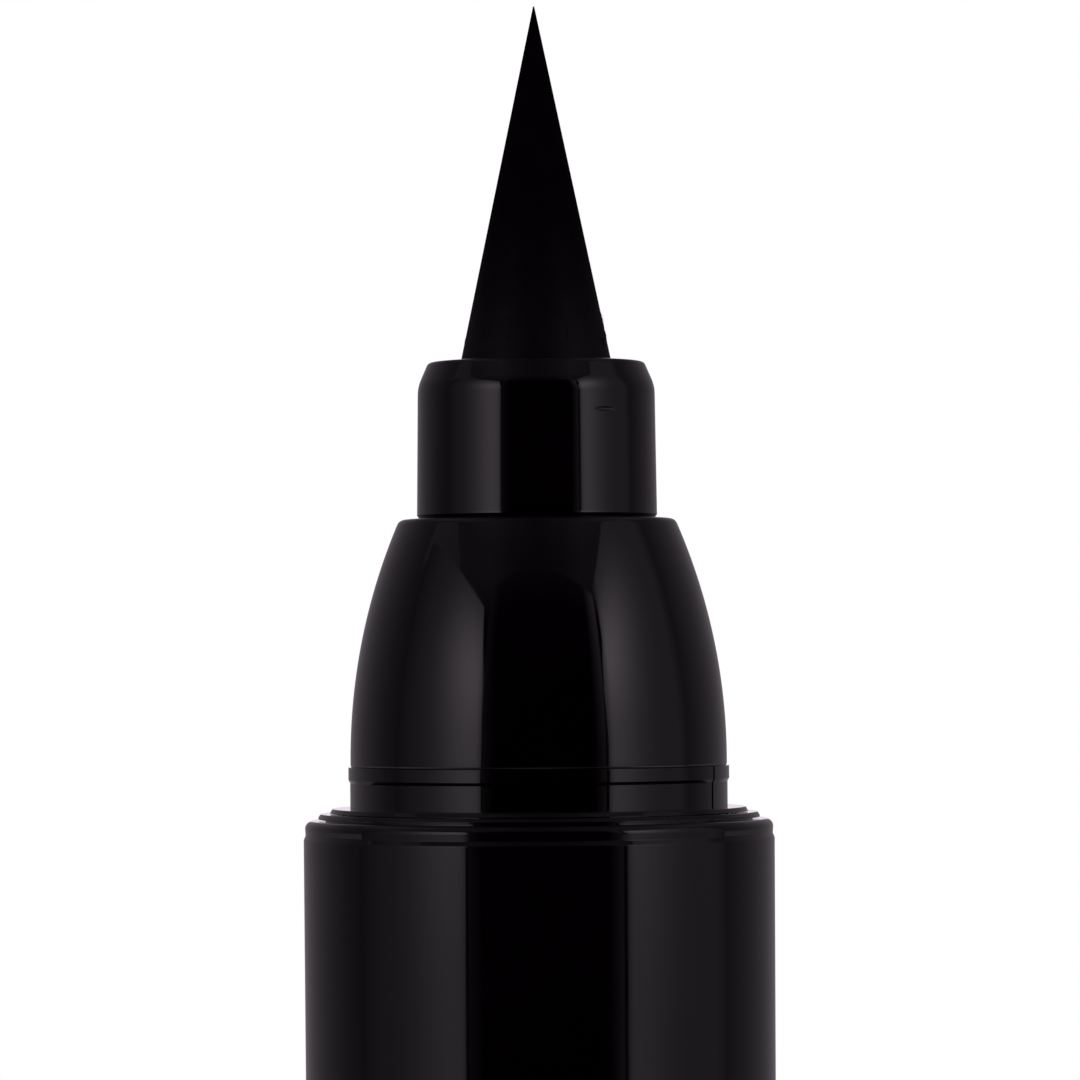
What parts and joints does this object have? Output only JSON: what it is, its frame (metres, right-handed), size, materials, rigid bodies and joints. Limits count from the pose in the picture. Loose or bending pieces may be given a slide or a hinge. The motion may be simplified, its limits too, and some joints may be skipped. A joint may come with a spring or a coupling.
{
  "type": "liquid eyeliner pen",
  "caption": "Slim black liquid eyeliner pen with a pointed fibre tip, stepped neck and bell-shaped front, upright, with its cap posted on the tail.",
  "frame": {"origin": "middle of the flat closed end of the cap, which is posted on the pen's tail", "axes": "+Z along the pen's axis, towards the fibre tip"},
  "size_m": [0.01, 0.01, 0.1434],
  "materials": {
    "black_gloss": "gloss",
    "black_matte": "matte",
    "fibre_black": "matte",
    "felt": "matte",
    "natural_plastic": "satin",
    "seal_rubber": "matte",
    "steel": "polished"
  },
  "bodies": {
    "pen": {"barrel": "black_gloss", "ink_tank": "black_gloss", "tank_plug": "natural_plastic", "front_section": "black_gloss", "section_seal": "seal_rubber", "collector": "natural_plastic", "wick": "felt", "tip_sleeve": "natural_plastic", "nozzle": "black_gloss", "fibre_tip": "fibre_black", "tail_plug": "black_gloss"},
    "ball": {"mixing_ball": "steel"},
    "cap": {"cap_shell": "black_gloss", "cap_sleeve": "black_matte", "cap_spring": "steel"},
    "cap_cup": {"inner_cap": "natural_plastic", "inner_cap_seal": "seal_rubber"}
  },
  "joints": [
    {"name": "cap_pull", "type": "slide", "parent": "pen", "child": "cap", "axis": [0, 0, -1], "range_m": [0, 0.006]},
    {"name": "ball_shake", "type": "slide", "parent": "pen", "child": "ball", "axis": [0, 0, 1], "range_m": [0, 0.0608]},
    {"name": "cap_cup_push", "type": "slide", "parent": "cap", "child": "cap_cup", "axis": [0, 0, -1], "range_m": [0, 0.0016], "stiffness_N_per_m": 100, "deforming": ["cap_spring"]}
  ]
}
